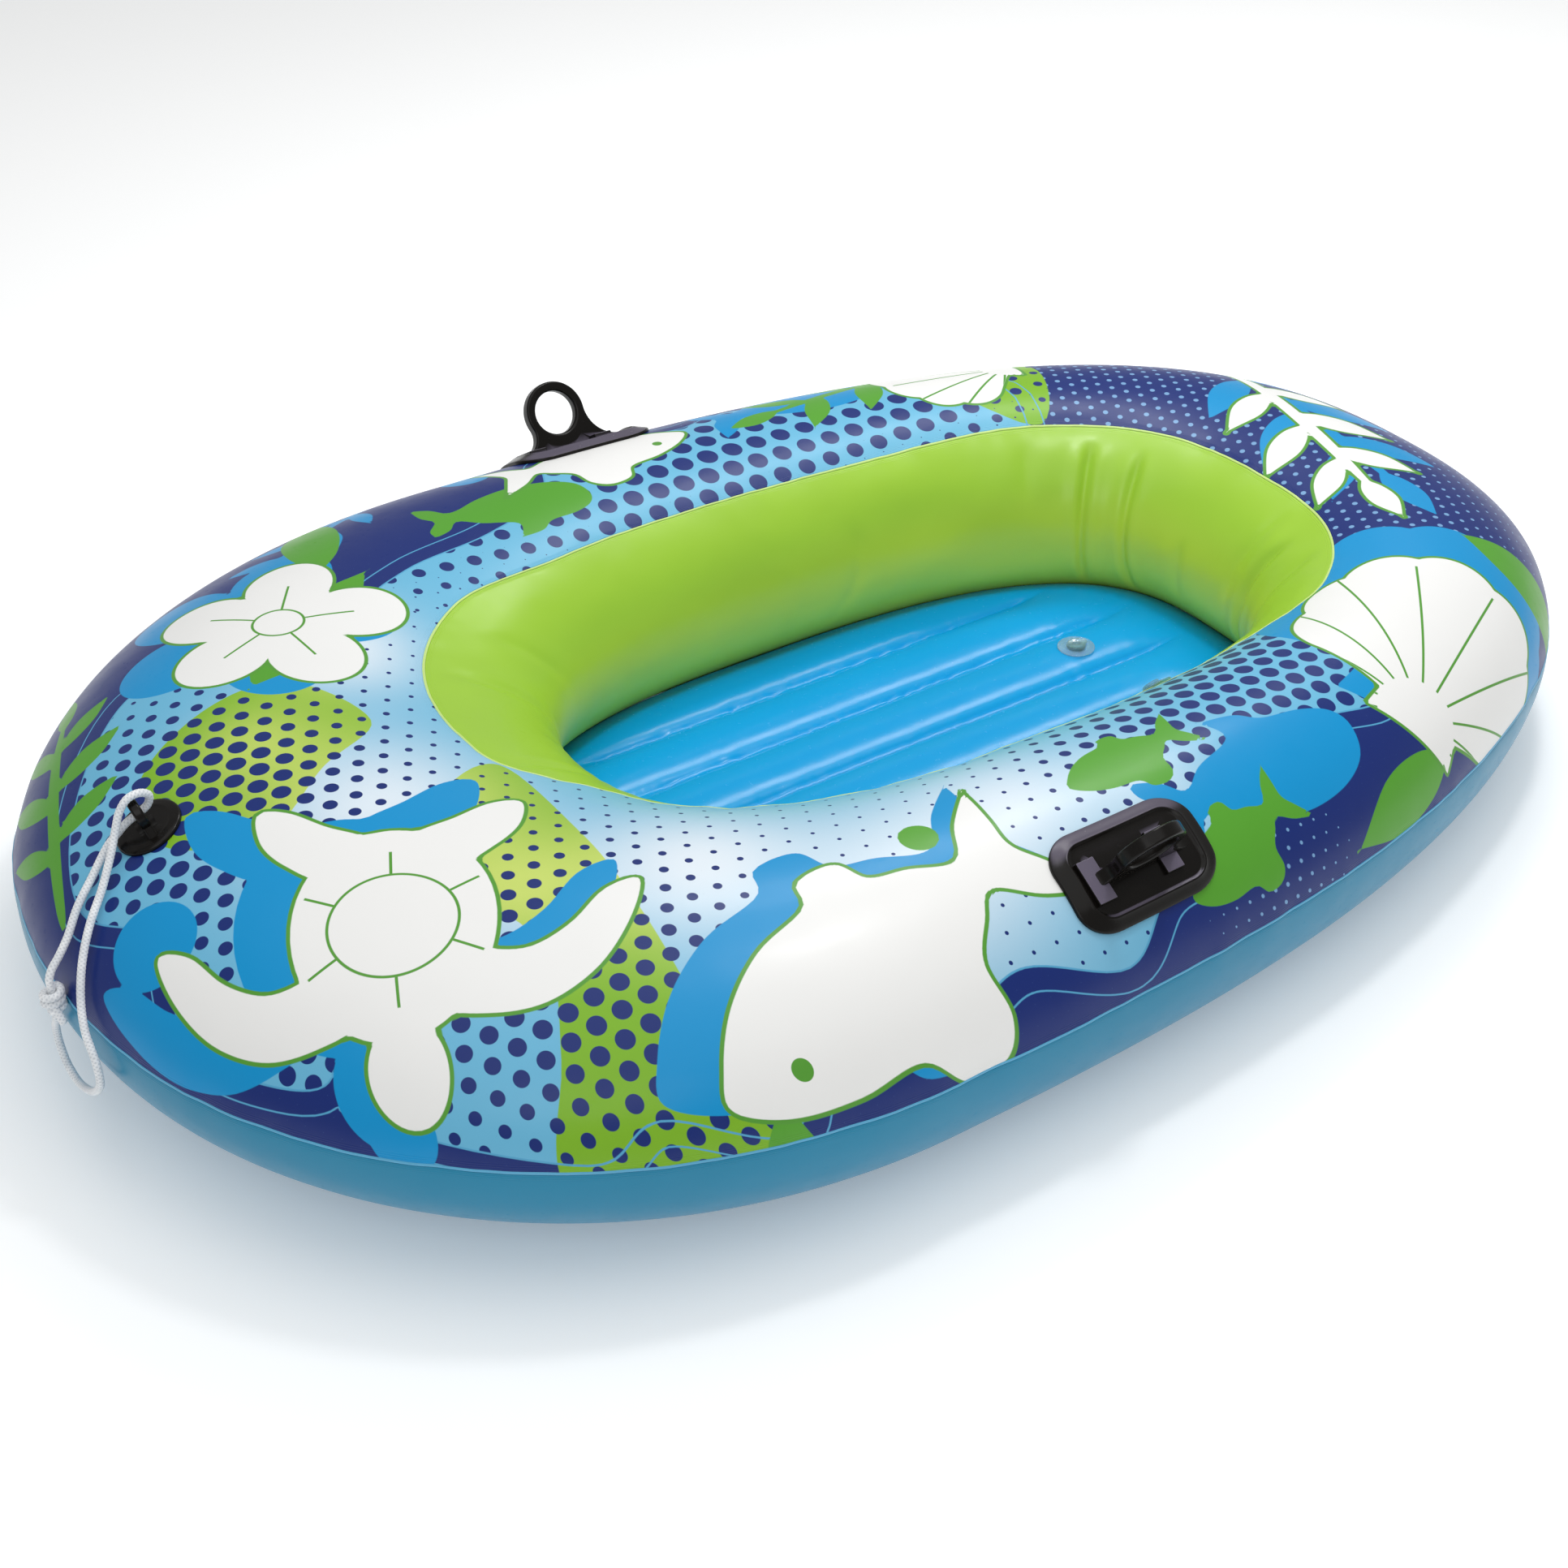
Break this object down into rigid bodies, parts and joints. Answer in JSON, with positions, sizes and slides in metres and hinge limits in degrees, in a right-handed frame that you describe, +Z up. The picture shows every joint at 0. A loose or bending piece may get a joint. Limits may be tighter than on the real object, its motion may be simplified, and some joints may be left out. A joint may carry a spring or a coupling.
{
  "type": "inflatable pool boat",
  "caption": "Oval inflatable pool boat: welded air-tube hull round a cockpit, ribbed air floor, push-in valves, a moulded oarlock on each side, and a bow eyelet with a knotted rope.",
  "frame": {"origin": "centre of the boat's footprint, on the ground under the hull", "axes": "+X to the bow, +Y to port, +Z up"},
  "size_m": [1.3864, 0.8788, 0.2442],
  "materials": {
    "printed_vinyl": "glossy printed PVC film, blue and lime",
    "lime_vinyl": "glossy lime PVC film",
    "pale_blue_vinyl": "glossy blue PVC film",
    "bright_blue_vinyl": "glossy bright blue PVC film",
    "clear_vinyl": "soft clear PVC",
    "black_vinyl": "moulded black PVC with a soft shine",
    "white_rope": "braided white rope"
  },
  "bodies": {
    "hull": {"hull_deck_sheet": "printed_vinyl", "cockpit_wall": "lime_vinyl", "hull_bottom_sheet": "pale_blue_vinyl", "floor_top_sheet": "bright_blue_vinyl", "floor_bottom_sheet": "bright_blue_vinyl", "floor_web_1": "bright_blue_vinyl", "floor_web_2": "bright_blue_vinyl", "floor_web_3": "bright_blue_vinyl", "floor_web_4": "bright_blue_vinyl", "floor_web_5": "bright_blue_vinyl", "hull_valve_collar": "clear_vinyl", "floor_valve_collar": "clear_vinyl", "oarlock_port": "black_vinyl", "oarlock_starboard": "black_vinyl", "bow_eyelet": "black_vinyl", "bow_rope": "white_rope", "bow_rope_knot": "white_rope"},
    "hull_valve_stem": {"hull_valve_stem": "clear_vinyl"},
    "hull_valve_cap": {"hull_valve_cap": "clear_vinyl"},
    "hull_valve_flap": {"hull_valve_flap": "clear_vinyl"},
    "floor_valve_stem": {"floor_valve_stem": "clear_vinyl"},
    "floor_valve_cap": {"floor_valve_cap": "clear_vinyl"},
    "floor_valve_flap": {"floor_valve_flap": "clear_vinyl"}
  },
  "joints": [
    {"name": "hull_valve_pull", "type": "slide", "parent": "hull", "child": "hull_valve_stem", "axis": [0.0498, -0.8168, 0.5748], "range_m": [0, 0.011]},
    {"name": "hull_valve_cap_hinge", "type": "hinge", "parent": "hull_valve_stem", "child": "hull_valve_cap", "pos_m": [-0.19177, 0.17736, 0.158], "axis": [0.0794, -0.5704, -0.8175], "range_deg": [0, 150]},
    {"name": "hull_valve_flap_hinge", "type": "hinge", "parent": "hull_valve_stem", "child": "hull_valve_flap", "pos_m": [-0.18807, 0.19217, 0.14803], "axis": [-0.0794, 0.5704, 0.8175], "range_deg": [0, 35]},
    {"name": "floor_valve_pull", "type": "slide", "parent": "hull", "child": "floor_valve_stem", "axis": [0, 0, 1], "range_m": [0, 0.011]},
    {"name": "floor_valve_cap_hinge", "type": "hinge", "parent": "floor_valve_stem", "child": "floor_valve_cap", "pos_m": [-0.2986, -0.03253, 0.05216], "axis": [0, -1, 0], "range_deg": [0, 150]},
    {"name": "floor_valve_flap_hinge", "type": "hinge", "parent": "floor_valve_stem", "child": "floor_valve_flap", "pos_m": [-0.294, -0.03253, 0.03436], "axis": [0, 1, 0], "range_deg": [0, 35]}
  ]
}
